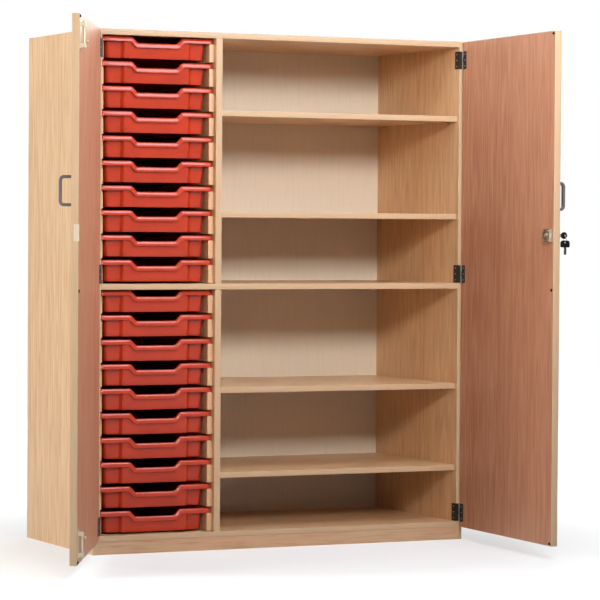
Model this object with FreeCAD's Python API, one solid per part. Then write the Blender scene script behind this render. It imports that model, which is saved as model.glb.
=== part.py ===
import FreeCAD, Part
import math
import os

V = FreeCAD.Vector

# Flat sides of the small round pieces, and of the larger ones at the lock
small_round_sides = 8
lock_round_sides = 16

# Driving dimensions in millimetres.
# Frame: +X right, +Y to the rear, +Z up.
# The origin is on the floor, at the middle of the plinth's underside.

# Carcass
overall_width = 1065.0
overall_height = 1336.0
overall_depth = 480.0
upright_thickness = 18.0
shelf_thickness = 15.0
plinth_height = 33.0
plinth_thickness = 15.0
back_thickness = 6.0
edging_thickness = 2.0
edging_chamfer = 0.7
tray_bay_width = 316.0
fixed_shelf_height = 674.0
shelf_setback = 8.0
shelf_end_play = 0.5
shelf_nose_chamfer = 1.2
first_shelf_drop = 199.0
second_shelf_rise = 171.0
third_shelf_drop = 269.0
fourth_shelf_rise = 137.0

# Shelf pins
shelf_pin_radius = 2.5
shelf_pin_reach = 9.0
shelf_pin_depth = 10.0
shelf_pin_inset = 45.0
pin_hole_clearance = 0.3

# Trays and their runners
tray_rim_width = 311.0
tray_length = 427.0
trays_per_bay = 10
tray_gap = 7.6
tray_setback = 13.0
tray_headroom = 2.5
tray_wall = 2.4
tray_draft = 6.0
tray_flange = 16.0
tray_corner_radius = 10.0
rim_corner_radius = 8.0
tray_corner_facets = 2
rim_height = 12.5
dip_width = 108.0
dip_depth = 15.3
dip_run = 14.5
panel_width = 180.0
panel_setback = 4.5
panel_flare = 6.0
runner_width = 14.0
runner_gap = 4.1
runner_length = 436.0
runner_clearance = 0.2
left_runner_setback = 26.0

# Doors
door_thickness = 18.0
door_standoff = 3.0
door_side_margin = 0.5
door_meeting_gap = 2.0
door_end_margin = 1.0
left_door_angle = 117.3
right_door_angle = 87.0
buffer_radius = 4.0
buffer_play = 0.2
buffer_inset = 8.0

# Hinges
hinge_height = 47.0
hinge_leaf_thickness = 1.2
hinge_leaf_depth = 22.0
hinge_door_leaf = 18.5
hinge_pin_inset = 4.0
hinge_pin_forward = 9.0
hinge_pin_radius = 1.5
hinge_barrel_radius = 3.0
hinge_arm = 1.6
hinge_running_gap = 0.08
hinge_knuckle_gap = 0.4
hinge_notch_gap = 0.8
hinge_top_drop = 25.0
hinge_foot_gap = 1.5

# Handles
handle_rise = 99.0
handle_span = 74.0
handle_inset = 42.0
handle_standoff = 34.0
handle_bar_width = 10.0
handle_bar_thickness = 7.5
handle_bend_radius = 13.0

# Surface bolts on the left door
bolt_plate_length = 68.0
bolt_plate_width = 24.0
bolt_plate_thickness = 1.5
bolt_inset = 19.0
bolt_rod_radius = 3.5
bolt_rod_offset = 9.5
bolt_guide_width = 15.0
bolt_guide_length = 10.0
bolt_guide_end = 4.0
bolt_guide_chamfer = 3.5
bolt_gap = 0.4
bolt_travel = 12.0
bolt_end_gap = 2.0
bolt_knob_radius = 3.2
bolt_knob_length = 11.0

# Lock on the right door
lock_rise = 130.5
lock_case_width = 34.0
lock_case_setback = 6.0
lock_case_height = 33.0
lock_case_depth = 10.5
lock_case_chamfer = 1.5
lock_barrel_radius = 9.0
lock_barrel_gap = 0.3
lock_rose_radius = 12.0
lock_rose_thickness = 7.0
lock_inset = 22.0
lock_plug_radius = 6.0
lock_plug_gap = 0.08
lock_bolt_height = 12.0
lock_bolt_thickness = 5.0
lock_bolt_length = 27.0
lock_bolt_travel = 15.0
lock_bolt_offset = 3.0
lock_bolt_gap = 0.3
strike_length = 40.0
strike_leg = 12.0
strike_thickness = 1.2
key_thickness = 2.4
key_blade_width = 7.0
key_blade_length = 16.0
key_bow_length = 17.5
spare_bow_width = 26.0
spare_bow_corner = 4.0
key_hole_radius = 3.0
key_neck = 7.0
key_root = 2.0
ring_radius = 7.0
ring_wire = 1.4

# Places worked out from the driving dimensions
front = -plinth_thickness / 2
rear = front + overall_depth
board_front = front + edging_thickness
back_face = rear - back_thickness
outer_x = overall_width / 2
inner_x = outer_x - upright_thickness
base_top = plinth_height + shelf_thickness
top_under = overall_height - shelf_thickness
fixed_top = fixed_shelf_height + shelf_thickness
divider_left = -inner_x + tray_bay_width
divider_right = divider_left + upright_thickness
tray_centre = (divider_left - inner_x) / 2
upper_tray_pitch = (top_under - fixed_top) / trays_per_bay
lower_tray_pitch = (fixed_shelf_height - base_top) / trays_per_bay
tray_height = min(upper_tray_pitch, lower_tray_pitch) - tray_gap
door_inner = front - door_standoff
door_outer = door_inner - door_thickness
door_bottom = plinth_height + door_end_margin
door_top = overall_height - door_end_margin
door_hinge_edge = outer_x - door_side_margin
door_free_edge = door_meeting_gap / 2
pin_x = outer_x - hinge_pin_inset
pin_y = front - hinge_pin_forward
hinge_bottoms = [
    base_top + hinge_foot_gap,
    fixed_top + hinge_foot_gap,
    door_top - hinge_top_drop - hinge_height,
]
bolt_x = door_free_edge + bolt_inset
bolt_y = door_inner + bolt_rod_offset
lock_x = door_free_edge + lock_inset
lock_height = fixed_top + lock_rise
handle_height = lock_height + handle_rise

parts = {}


def box(x0, x1, y0, y1, z0, z1):
    return Part.makeBox(x1 - x0, y1 - y0, z1 - z0, V(x0, y0, z0))


def prism(points, direction):
    """Solid between a flat outline of straight lines and the same outline moved along a direction."""
    wire = Part.makePolygon(list(points) + [points[0]])
    return Part.Face(wire).extrude(direction)


def rod(radius, start, direction, length, sides=small_round_sides):
    """Round bar with flat sides, whose corners lie on the radius."""
    axis = V(direction).normalize()
    helper = V(1, 0, 0) if abs(axis.z) > 0.9 else V(0, 0, 1)
    across = axis.cross(helper).normalize()
    up = axis.cross(across)
    points = []
    for side in range(sides):
        angle = 2 * math.pi * (side + 0.5) / sides
        points.append(start + across * (radius * math.cos(angle)) + up * (radius * math.sin(angle)))
    return prism(points, axis * length)


def bore(radius, start, direction, length, sides=small_round_sides):
    """Cutter for a round hole with flat sides, whose flats lie on the radius."""
    return rod(radius / math.cos(math.pi / sides), start, direction, length, sides)


def strip(corner, across, outward, along, chamfer):
    """Bar with its two outer long edges chamfered."""
    a = V(across).normalize() * chamfer
    o = V(outward).normalize() * chamfer
    far = corner + across
    near_edge = corner + outward
    far_edge = far + outward
    return prism([corner, far, far_edge - o, far_edge - a, near_edge + a, near_edge - o], along)


def mirrored(shape):
    return shape.mirror(V(0, 0, 0), V(1, 0, 0))


def front_strip(x0, x1, z0, z1, upright):
    """Edging on a board's front edge, from (x0, z0) to (x1, z1)."""
    outward = V(0, -edging_thickness, 0)
    corner = V(x0, board_front, z0)
    if upright:
        return strip(corner, V(x1 - x0, 0, 0), outward, V(0, 0, z1 - z0), edging_chamfer)
    return strip(corner, V(0, 0, z1 - z0), outward, V(x1 - x0, 0, 0), edging_chamfer)


# Shelf positions, from the fixed boards above and below them
shelf_bottoms = [
    top_under - first_shelf_drop,
    fixed_top + second_shelf_rise,
    fixed_shelf_height - third_shelf_drop,
    base_top + fourth_shelf_rise,
]
shelf_pin_rows = [board_front + shelf_setback + shelf_pin_inset, back_face - shelf_pin_inset]


def shelf_pin_points(low, high):
    """Places of the shelf pins between two heights, as (y, z) of each pin's axis."""
    points = []
    for bottom in shelf_bottoms:
        if low < bottom < high:
            for y in shelf_pin_rows:
                points.append((y, bottom - shelf_pin_radius))
    return points


def pin_holes(x_mouth, direction, low, high):
    radius = shelf_pin_radius + pin_hole_clearance
    holes = []
    for y, z in shelf_pin_points(low, high):
        holes.append(bore(radius, V(x_mouth, y, z), direction, shelf_pin_depth + 1))
    return holes


def make_carcass():
    """Boards, edging, shelves and pins that stand still."""
    right = box(inner_x, outer_x, board_front, rear, 0, overall_height)
    parts["left_side_panel"] = [mirrored(right)]
    holes = pin_holes(inner_x, V(1, 0, 0), 0, overall_height)
    parts["right_side_panel"] = [right.cut(Part.makeCompound(holes))]

    keep_top = bore(bolt_rod_radius + bolt_gap, V(-bolt_x, bolt_y, top_under), V(0, 0, 1), bolt_travel - 1)
    keep_base = bore(bolt_rod_radius + bolt_gap, V(-bolt_x, bolt_y, base_top), V(0, 0, -1), bolt_travel - 1)
    top = box(-inner_x, inner_x, board_front, back_face, top_under, overall_height)
    base = box(-inner_x, inner_x, board_front, back_face, plinth_height, base_top)
    parts["top_panel"] = [top.cut(keep_top)]
    parts["base_panel"] = [base.cut(keep_base)]
    parts["fixed_shelf"] = [box(-inner_x, inner_x, board_front, back_face, fixed_shelf_height, fixed_top)]
    spans = {"upper_divider": (fixed_top, top_under), "lower_divider": (base_top, fixed_shelf_height)}
    for name, (low, high) in spans.items():
        board = box(divider_left, divider_right, board_front, back_face, low, high)
        parts[name] = [board.cut(Part.makeCompound(pin_holes(divider_right, V(-1, 0, 0), low, high)))]
    parts["back_panel"] = [box(-inner_x, inner_x, back_face, rear, plinth_height, overall_height)]
    parts["front_plinth"] = [box(-inner_x, inner_x, front, front + plinth_thickness, 0, plinth_height)]

    edging = [
        front_strip(-outer_x, -inner_x, 0, overall_height, True),
        front_strip(inner_x, outer_x, 0, overall_height, True),
        front_strip(-inner_x, inner_x, top_under, overall_height, False),
        front_strip(-inner_x, inner_x, plinth_height, base_top, False),
        front_strip(-inner_x, inner_x, fixed_shelf_height, fixed_top, False),
    ]
    for low, high in spans.values():
        edging.append(front_strip(divider_left, divider_right, low, high, True))
    parts["carcass_edging"] = edging

    pins = []
    for number, bottom in enumerate(shelf_bottoms, 1):
        x0 = divider_right + shelf_end_play
        x1 = inner_x - shelf_end_play
        y1 = back_face - shelf_end_play
        nose = board_front + shelf_setback
        upward = V(0, 0, shelf_thickness)
        forward = V(0, nose - y1, 0)
        board = strip(V(x0, y1, bottom), upward, forward, V(x1 - x0, 0, 0), shelf_nose_chamfer)
        parts[f"adjustable_shelf_{number}"] = [board]
    length = shelf_pin_depth + shelf_pin_reach
    for y, z in shelf_pin_points(0, overall_height):
        pins.append(rod(shelf_pin_radius, V(divider_right - shelf_pin_depth, y, z), V(1, 0, 0), length))
        pins.append(rod(shelf_pin_radius, V(inner_x + shelf_pin_depth, y, z), V(-1, 0, 0), length))
    parts["shelf_pins"] = pins


def pin_bore(z0, z1):
    return bore(hinge_pin_radius + hinge_running_gap, V(pin_x, pin_y, z0), V(0, 0, 1), z1 - z0)


def knuckle(z0, z1):
    """Barrel of a leaf round the pin, with the arm's side left for the leaf."""
    return rod(hinge_barrel_radius, V(pin_x, pin_y, z0), V(0, 0, 1), z1 - z0)


def thirds(bottom):
    third = hinge_height / 3
    return [bottom, bottom + third, bottom + 2 * third, bottom + hinge_height]


def carcass_leaf(bottom):
    """Leaf on the right side's inner face, bent round its front edge to the two outer knuckles."""
    t = hinge_leaf_thickness
    z0, z1, z2, z3 = thirds(bottom)
    half_gap = hinge_knuckle_gap / 2
    plate = box(inner_x - t, inner_x, front - t, front + hinge_leaf_depth, z0, z3)
    wrap = box(inner_x - t, pin_x + hinge_arm / 2, front - t, front, z0, z3)
    leaf = plate.fuse(wrap)
    for low, high in ((z0, z1 - half_gap), (z2 + half_gap, z3)):
        arm = box(pin_x - hinge_arm / 2, pin_x + hinge_arm / 2, pin_y, front, low, high)
        leaf = leaf.fuse(arm).fuse(knuckle(low, high)).cut(pin_bore(low, high))
    return leaf.removeSplitter()


def door_leaf(bottom):
    """Leaf on the closed right door's inner face, with the middle knuckle."""
    t = hinge_leaf_thickness
    z0, z1, z2, z3 = thirds(bottom)
    half_gap = hinge_knuckle_gap / 2
    low = z1 + half_gap
    high = z2 - half_gap
    far = pin_x - hinge_door_leaf
    plate = box(far, pin_x - hinge_arm, door_inner, door_inner + t, z0, z3)
    tab = box(pin_x - hinge_arm, pin_x + hinge_arm / 2, door_inner, door_inner + t, low, high)
    arm = box(pin_x - hinge_arm / 2, pin_x + hinge_arm / 2, pin_y, door_inner + t, low, high)
    leaf = plate.fuse(tab).fuse(arm).fuse(knuckle(low, high)).cut(pin_bore(low, high))
    return leaf.removeSplitter()


def make_hinges():
    leaves = [carcass_leaf(bottom) for bottom in hinge_bottoms]
    parts["carcass_hinge_leaves"] = leaves + [mirrored(leaf) for leaf in leaves]
    pins = []
    for bottom in hinge_bottoms:
        pins.append(rod(hinge_pin_radius, V(pin_x, pin_y, bottom), V(0, 0, 1), hinge_height))
    parts["hinge_pins"] = pins + [mirrored(pin) for pin in pins]


def hinge_notches():
    """Room in the closed right door for the barrels."""
    reach = hinge_barrel_radius + hinge_notch_gap
    notches = []
    for bottom in hinge_bottoms:
        low = bottom - hinge_notch_gap
        high = bottom + hinge_height + hinge_notch_gap
        notches.append(box(pin_x - reach, door_hinge_edge + 1, pin_y - reach, door_inner + 1, low, high))
    return Part.makeCompound(notches)


def door_board():
    """Closed right door: core board and the edging strips on its four edges."""
    e = edging_thickness
    notches = hinge_notches()
    near = door_free_edge + e
    core = box(near, door_hinge_edge - e, door_outer, door_inner, door_bottom + e, door_top - e)
    core = core.cut(notches)
    across = V(0, door_thickness, 0)
    tall = V(0, 0, door_top - door_bottom)
    wide = V(door_hinge_edge - door_free_edge - 2 * e, 0, 0)
    far = door_hinge_edge - e
    free = strip(V(near, door_outer, door_bottom), across, V(-e, 0, 0), tall, edging_chamfer)
    hinged = strip(V(far, door_outer, door_bottom), across, V(e, 0, 0), tall, edging_chamfer)
    lower = strip(V(near, door_outer, door_bottom + e), across, V(0, 0, -e), wide, edging_chamfer)
    upper = strip(V(near, door_outer, door_top - e), across, V(0, 0, e), wide, edging_chamfer)
    return core, [free, hinged.cut(notches), lower, upper]


def buffers():
    """Round pads that meet the top panel, the fixed shelf and the base panel."""
    x = door_free_edge + buffer_inset
    thickness = door_standoff - buffer_play
    pads = []
    for bottom in (plinth_height, fixed_shelf_height, top_under):
        middle = bottom + shelf_thickness / 2
        pads.append(rod(buffer_radius, V(x, door_inner, middle), V(0, 1, 0), thickness))
    return pads


def handle():
    """Bow handle bent from flat bar, standing on the closed right door's outer face."""
    x0 = door_free_edge + handle_inset - handle_bar_width / 2
    t = handle_bar_thickness
    low = handle_height - handle_span / 2
    high = handle_height + handle_span / 2
    far = door_outer - handle_standoff
    r = handle_bend_radius

    def bow(inset, radius):
        shy = radius * (1 - math.sqrt(0.5))
        z0 = low + inset
        z1 = high - inset
        y = far + inset
        return [
            Part.makeLine(V(x0, door_outer, z0), V(x0, y + radius, z0)),
            Part.Arc(V(x0, y + radius, z0), V(x0, y + shy, z0 + shy), V(x0, y, z0 + radius)).toShape(),
            Part.makeLine(V(x0, y, z0 + radius), V(x0, y, z1 - radius)),
            Part.Arc(V(x0, y, z1 - radius), V(x0, y + shy, z1 - shy), V(x0, y + radius, z1)).toShape(),
            Part.makeLine(V(x0, y + radius, z1), V(x0, door_outer, z1)),
        ]

    outside = bow(0, r)
    inside = bow(t, r - t)
    feet = [
        Part.makeLine(V(x0, door_outer, low), V(x0, door_outer, low + t)),
        Part.makeLine(V(x0, door_outer, high - t), V(x0, door_outer, high)),
    ]
    wire = Part.Wire(Part.__sortEdges__(outside + inside + feet))
    return Part.Face(wire).extrude(V(handle_bar_width, 0, 0))


def surface_bolt(end, toward):
    """Plate with two guides, and its rod with a knob, in mirror place on the closed right door.

    end is the height of the plate's end at the bolt's working side, toward is +1 up or -1 down.
    """
    up = V(0, 0, toward)
    gap = bolt_rod_radius + bolt_gap

    def span(a, b):
        heights = sorted((end - toward * a, end - toward * b))
        return heights[0], heights[1]

    z0, z1 = span(0, bolt_plate_length)
    half = bolt_plate_width / 2
    plate = box(bolt_x - half, bolt_x + half, door_inner, door_inner + bolt_plate_thickness, z0, z1)
    half = bolt_guide_width / 2
    near = bolt_guide_end
    far = bolt_plate_length - bolt_guide_end - bolt_guide_length
    hole = bore(gap, V(bolt_x, bolt_y, z0), V(0, 0, 1), z1 - z0)
    depth = bolt_y + bolt_rod_radius + bolt_plate_thickness + bolt_gap
    for place in (near, far):
        low, high = span(place, place + bolt_guide_length)
        corner = V(bolt_x - half, door_inner, low)
        outward = V(0, depth - door_inner, 0)
        guide = strip(corner, V(2 * half, 0, 0), outward, V(0, 0, high - low), bolt_guide_chamfer)
        plate = plate.fuse(guide)
    plate = plate.cut(hole).removeSplitter()

    tail = far + bolt_guide_length - 1
    start = end - toward * tail
    bar = rod(bolt_rod_radius, V(bolt_x, bolt_y, start), up, tail)
    knob_place = far - bolt_knob_radius - 1
    seat = V(bolt_x, bolt_y, end - toward * knob_place)
    knob = rod(bolt_knob_radius, seat, V(0, 1, 0), bolt_knob_length)
    return plate, bar.fuse(knob).removeSplitter()


def strike_plate():
    """Angle plate on the closed left door's free edge and inner face, in mirror place on the right."""
    t = strike_thickness
    low = lock_height - strike_length / 2
    high = lock_height + strike_length / 2
    edge_leg = box(door_free_edge, door_free_edge + t, door_inner - strike_leg, door_inner + t, low, high)
    face_leg = box(door_free_edge, door_free_edge + strike_leg, door_inner, door_inner + t, low, high)
    recess = box(door_free_edge - 1, door_free_edge + t, door_inner - strike_leg, door_inner + 1, low, high)
    return edge_leg.fuse(face_leg).removeSplitter(), recess


def round_bow():
    """Disc bow of the key in the lock, standing on z = 0 in the XZ plane."""
    start = V(0, -key_thickness / 2, key_bow_length / 2)
    return rod(key_bow_length / 2, start, V(0, 1, 0), key_thickness, lock_round_sides)


def wide_bow():
    """Broad bow of the spare key with cut corners, standing on z = 0 in the XZ plane."""
    half = key_thickness / 2
    w = spare_bow_width / 2
    c = spare_bow_corner
    top = key_bow_length
    outline = [
        (c - w, 0),
        (w - c, 0),
        (w, c),
        (w, top - c),
        (w - c, top),
        (c - w, top),
        (-w, top - c),
        (-w, c),
    ]
    return prism([V(x, -half, z) for x, z in outline], V(0, key_thickness, 0))


def key_blank(bow):
    """Key with its blade pointing along -Z below the given bow, and the place of the hole in the bow."""
    half = key_thickness / 2
    hole_z = key_bow_length - key_hole_radius - 2.5
    bow = bow.cut(bore(key_hole_radius, V(0, -half - 1, hole_z), V(0, 1, 0), key_thickness + 2))
    w = key_blade_width / 2
    tip = -key_neck - key_blade_length
    outline = [(-w, key_root), (w, key_root), (w, tip + 2), (w - 2, tip), (-w + 1, tip), (-w, tip + 1)]
    blade = prism([V(x, -half, z) for x, z in outline], V(0, key_thickness, 0))
    for step in range(4):
        cut = 1.2 + 0.7 * (step % 2)
        z = tip + 4 + 4 * step
        notch = [(w + 1, z - 2), (w + 1, z + 2), (w - cut, z)]
        blade = blade.cut(prism([V(x, -half - 1, h) for x, h in notch], V(0, key_thickness + 2, 0)))
    return bow.fuse(blade).removeSplitter(), hole_z


def make_lock():
    """Lock parts on the closed right door, each as a list of solids."""
    x0 = door_free_edge + lock_case_setback
    low = lock_height - lock_case_height / 2
    high = lock_height + lock_case_height / 2
    upward = V(0, 0, high - low)
    along = V(lock_case_width, 0, 0)
    case = strip(V(x0, door_inner, low), upward, V(0, lock_case_depth, 0), along, lock_case_chamfer)
    face_y = door_outer - lock_rose_thickness
    centre = V(lock_x, face_y, lock_height)
    inward = V(0, 1, 0)
    barrel = rod(lock_barrel_radius, centre, inward, door_inner - face_y, lock_round_sides)
    rose = rod(lock_rose_radius, centre, inward, lock_rose_thickness, lock_round_sides)
    plug_length = door_inner - face_y - 2
    case = case.fuse(barrel).fuse(rose)
    plug_room = lock_plug_radius + lock_plug_gap
    case = case.cut(bore(plug_room, centre, inward, plug_length + 0.5, lock_round_sides))
    bolt_low = lock_height - lock_bolt_height / 2
    bolt_high = lock_height + lock_bolt_height / 2
    bolt_near = door_inner + lock_bolt_offset
    bolt_far = bolt_near + lock_bolt_thickness
    g = lock_bolt_gap
    slot = box(x0 - 1, x0 + lock_bolt_length + 1, bolt_near - g, bolt_far + g, bolt_low - g, bolt_high + g)
    case = case.cut(slot).removeSplitter()
    bolt = box(x0 + 0.5, x0 + lock_bolt_length, bolt_near, bolt_far, bolt_low, bolt_high)

    plug = rod(lock_plug_radius, centre, inward, plug_length, lock_round_sides)
    keyway = box(
        lock_x - key_thickness / 2 - 0.2,
        lock_x + key_thickness / 2 + 0.2,
        face_y - 1,
        face_y + key_blade_length + 1,
        lock_height - key_blade_width / 2 - 0.2,
        lock_height + key_blade_width / 2 + 0.2,
    )
    plug = plug.cut(keyway)

    key, hole_z = key_blank(round_bow())
    key.rotate(V(0, 0, 0), V(0, 0, 1), 90)
    key.rotate(V(0, 0, 0), V(1, 0, 0), 90)
    key.translate(V(lock_x, face_y - key_neck, lock_height))
    hole = V(lock_x, face_y - key_neck - hole_z, lock_height)

    slack = key_hole_radius - ring_wire / 2 - 0.3
    ring_centre = hole - V(0, 0, slack + ring_radius)
    half = ring_wire / 2
    start = ring_centre - V(0, half, 0)
    ring = rod(ring_radius + half, start, inward, ring_wire, lock_round_sides)
    ring = ring.cut(rod(ring_radius - half, start, inward, ring_wire, lock_round_sides))
    spare = key_blank(wide_bow())[0]
    spare.rotate(V(0, 0, 0), V(0, 0, 1), 90)
    drop = ring_centre.z - ring_radius - slack
    spare.translate(V(lock_x, hole.y, drop - hole_z))
    mouth = V(lock_x, door_outer - 1, lock_height)
    barrel_room = lock_barrel_radius + lock_barrel_gap
    door_hole = bore(barrel_room, mouth, inward, door_thickness + 2, lock_round_sides)
    pieces = {
        "lock_case": [case],
        "lock_bolt": [bolt],
        "lock_plug": [plug],
        "key": [key],
        "spare_key": [spare],
        "key_ring": [ring],
    }
    return pieces, door_hole


def swung(shapes, side, angle):
    """Closed right-hand pieces, mirrored for the left door if side is -1, turned open about the pins."""
    result = []
    for shape in shapes:
        piece = mirrored(shape) if side < 0 else shape.copy()
        piece.rotate(V(side * pin_x, pin_y, 0), V(0, 0, 1), side * angle)
        result.append(piece)
    return result


def make_doors():
    core, edging = door_board()
    common = {
        "hinge_leaves": [door_leaf(bottom) for bottom in hinge_bottoms],
        "handle": [handle()],
        "buffers": buffers(),
    }
    lock, door_hole = make_lock()
    strike, recess = strike_plate()
    top_plate, top_rod = surface_bolt(top_under - bolt_end_gap, 1)
    base_plate, base_rod = surface_bolt(base_top + bolt_end_gap, -1)
    left = {
        "left_door_panel": [core],
        "left_door_edging": [edging[0].cut(recess)] + edging[1:],
        "strike_plate": [strike],
        "bolt_plates": [top_plate, base_plate],
        "top_bolt_rod": [top_rod],
        "bottom_bolt_rod": [base_rod],
    }
    right = {"right_door_panel": [core.cut(door_hole)], "right_door_edging": edging}
    right.update(lock)
    for name, shapes in common.items():
        left["left_" + name] = shapes
        right["right_" + name] = shapes
    for name, shapes in left.items():
        parts[name] = swung(shapes, -1, left_door_angle)
    for name, shapes in right.items():
        parts[name] = swung(shapes, 1, right_door_angle)


def tray_outline(z, shrink):
    """Plan outline of the tray's body at a height below its rim, moved inward by shrink."""
    lean = tray_draft * -z / tray_height
    side = tray_rim_width / 2 - tray_flange - lean - shrink
    rear_y = tray_length - tray_flange - lean - shrink
    wall_y = tray_flange - 2 + lean * 0.6 + shrink
    panel_y = panel_setback + lean * 0.6 + shrink
    panel = panel_width / 2 - shrink * 0.6
    corners = rounded_corners(side, wall_y, rear_y, tray_corner_radius - shrink)
    centre = [
        (-panel - panel_flare, wall_y),
        (-panel, panel_y),
        (panel, panel_y),
        (panel + panel_flare, wall_y),
    ]
    points = [V(x, y, z) for x, y in centre + corners]
    return Part.makePolygon(points + [points[0]])


def rounded_corners(half, front_y, rear_y, radius):
    """Corners of a rectangle in plan, each drawn in facets, from the front right corner round."""
    centres = [
        (half - radius, front_y + radius, -90),
        (half - radius, rear_y - radius, 0),
        (-half + radius, rear_y - radius, 90),
        (-half + radius, front_y + radius, 180),
    ]
    points = []
    for x, y, start in centres:
        for facet in range(tray_corner_facets + 1):
            angle = math.radians(start + 90 * facet / tray_corner_facets)
            points.append((x + radius * math.cos(angle), y + radius * math.sin(angle)))
    return points


def rim_block(inset, depth):
    """Rounded block of the rim's plan, moved inward by inset, reaching depth below the rim's top."""
    half = tray_rim_width / 2 - inset
    outline = rounded_corners(half, inset, tray_length - inset, rim_corner_radius - inset)
    return prism([V(x, y, -depth) for x, y in outline], V(0, 0, depth))


def dip_band(depth, length):
    """Front rim's dip as a bent band of the given thickness, reaching length behind the rim's front."""
    half = dip_width / 2
    slope = math.atan2(dip_depth, dip_run)
    back_off = depth * math.tan(slope / 2)
    shoulder = half + dip_run
    end = shoulder + back_off + 0.5
    top = [(-end, 0), (-shoulder, 0), (-half, -dip_depth)]
    under = [(-half - back_off, -dip_depth - depth), (-shoulder - back_off, -depth), (-end, -depth)]
    right_top = [(-x, z) for x, z in reversed(top)]
    right_under = [(-x, z) for x, z in reversed(under)]
    outline = top + right_top + right_under + under
    return prism([V(x, 0, z) for x, z in outline], V(0, length, 0))


def make_tray():
    """Moulded tray with a turned-down rim, a dip for the fingers and a proud front panel."""
    lift = 1.0
    body = Part.makeLoft([tray_outline(0, 0), tray_outline(-tray_height, 0)], True, True)
    floor = -tray_height + tray_wall
    cavity = Part.makeLoft([tray_outline(lift, tray_wall), tray_outline(floor, tray_wall)], True, True)
    hollow = rim_block(tray_wall, rim_height).cut(rim_block(tray_wall, tray_wall))
    rim = rim_block(0, rim_height).cut(hollow)
    tray = body.fuse(rim).cut(cavity)
    half = dip_width / 2
    shoulder = half + dip_run
    reach = panel_setback + 2 * tray_wall
    rise = lift * dip_run / dip_depth
    mouth = shoulder + rise
    gap = [(-mouth, lift), (mouth, lift), (half, -dip_depth), (-half, -dip_depth)]
    tray = tray.cut(prism([V(x, -1, z) for x, z in gap], V(0, reach + 1, 0)))
    tray = tray.fuse(dip_band(rim_height, tray_wall)).fuse(dip_band(tray_wall, reach))
    return tray.removeSplitter()


def tray_places():
    """Rim height and pitch of each tray, from the top down, in the upper bay and then the lower one."""
    places = []
    for ceiling, pitch in ((top_under, upper_tray_pitch), (fixed_shelf_height, lower_tray_pitch)):
        for step in range(trays_per_bay):
            places.append((ceiling - tray_headroom - pitch * step, pitch))
    return places


def make_trays():
    tray = make_tray()
    tray_front = front + tray_setback
    runners = []
    for number, (top, pitch) in enumerate(tray_places(), 1):
        copy = tray.copy()
        copy.translate(V(tray_centre, tray_front, top))
        parts[f"tray_{number:02d}"] = [copy]
        high = top - rim_height - runner_clearance
        low = high - (pitch - rim_height - runner_gap)
        back = tray_front + runner_length
        runners.append(box(divider_left - runner_width, divider_left, tray_front, back, low, high))
        left_front = front + left_runner_setback
        runners.append(box(-inner_x, -inner_x + runner_width, left_front, back, low, high))
    parts["tray_runners"] = runners


def main():
    make_carcass()
    make_hinges()
    make_doors()
    make_trays()
    os.makedirs("parts", exist_ok=True)
    for name, shapes in parts.items():
        shape = shapes[0] if len(shapes) == 1 else Part.makeCompound(shapes)
        shape.exportStep(f"parts/{name}.step")
    print(len(parts), "nodes written")


main()
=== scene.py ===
import math

import bmesh
import bpy
from bpy.props import FloatProperty, FloatVectorProperty, PointerProperty
from mathutils import Matrix, Vector


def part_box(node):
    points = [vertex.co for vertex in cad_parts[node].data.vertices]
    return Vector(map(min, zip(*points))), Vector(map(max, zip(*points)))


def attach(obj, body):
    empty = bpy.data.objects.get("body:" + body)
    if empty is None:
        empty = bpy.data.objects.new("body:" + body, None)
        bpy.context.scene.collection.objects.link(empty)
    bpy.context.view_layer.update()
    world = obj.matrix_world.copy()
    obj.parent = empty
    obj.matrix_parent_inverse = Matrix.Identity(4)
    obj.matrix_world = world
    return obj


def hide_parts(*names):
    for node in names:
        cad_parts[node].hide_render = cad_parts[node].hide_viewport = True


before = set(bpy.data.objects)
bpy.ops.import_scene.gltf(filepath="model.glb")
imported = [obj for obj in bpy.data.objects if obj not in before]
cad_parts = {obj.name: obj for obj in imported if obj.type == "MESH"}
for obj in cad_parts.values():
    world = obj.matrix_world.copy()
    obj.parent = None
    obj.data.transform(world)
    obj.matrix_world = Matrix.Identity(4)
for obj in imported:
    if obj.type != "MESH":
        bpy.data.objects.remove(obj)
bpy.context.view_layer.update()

bl_info = {
    "name": "Tray storage cupboard",
    "version": (1, 0, 0),
    "blender": (4, 5, 0),
    "location": "View3D > Sidebar > Cupboard",
    "description": "Dresses the packed tray cupboard: boards, edging, trays, fittings and studio",
    "category": "Object",
}

MM = 0.001
# Axes that the grain of a board runs along
X, Y, Z = range(3)

# Doors are drawn closed, in millimetres, as the right-hand one, and then swung about their pins.
PIN_X, PIN_Y = 528.5, -16.5
DOOR_ANGLE = {-1: 117.3, 1: 87.0}
HANDS = {-1: "left", 1: "right"}
DOOR_INNER, DOOR_OUTER = -10.5, -28.5
DOOR_BOTTOM, DOOR_TOP = 34.0, 1335.0
HINGE_EDGE, FREE_EDGE = 532.0, 1.0
HINGE_BOTTOMS = (49.5, 690.5, 1263.0)
HINGE_HEIGHT = 47.0
LOCK_X, LOCK_Z = 23.0, 819.5
HANDLE_Z = 918.5
BOLT_X, BOLT_Y = 20.0, -1.0
BOLT_ENDS = {1: 1319.0, -1: 50.0}
BARREL_GAP, NOTCH_GAP = 3.8, 0.8
STRIKE_HALF, STRIKE_DEEP = 20.0, 12.0
LEAF_THICK, LEAF_SCREW_X = 1.2, 517.35
SHARP_ANGLE = math.radians(35.0)


def linear(hex_colour):
    """Linear red, green and blue of an sRGB hex value."""
    channels = [int(hex_colour[i:i + 2], 16) / 255 for i in (1, 3, 5)]
    return [c / 12.92 if c <= 0.04045 else ((c + 0.055) / 1.055) ** 2.4 for c in channels]


def drawn(node):
    """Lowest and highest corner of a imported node, in millimetres."""
    low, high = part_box(node)
    return Vector(low) / MM, Vector(high) / MM


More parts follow.
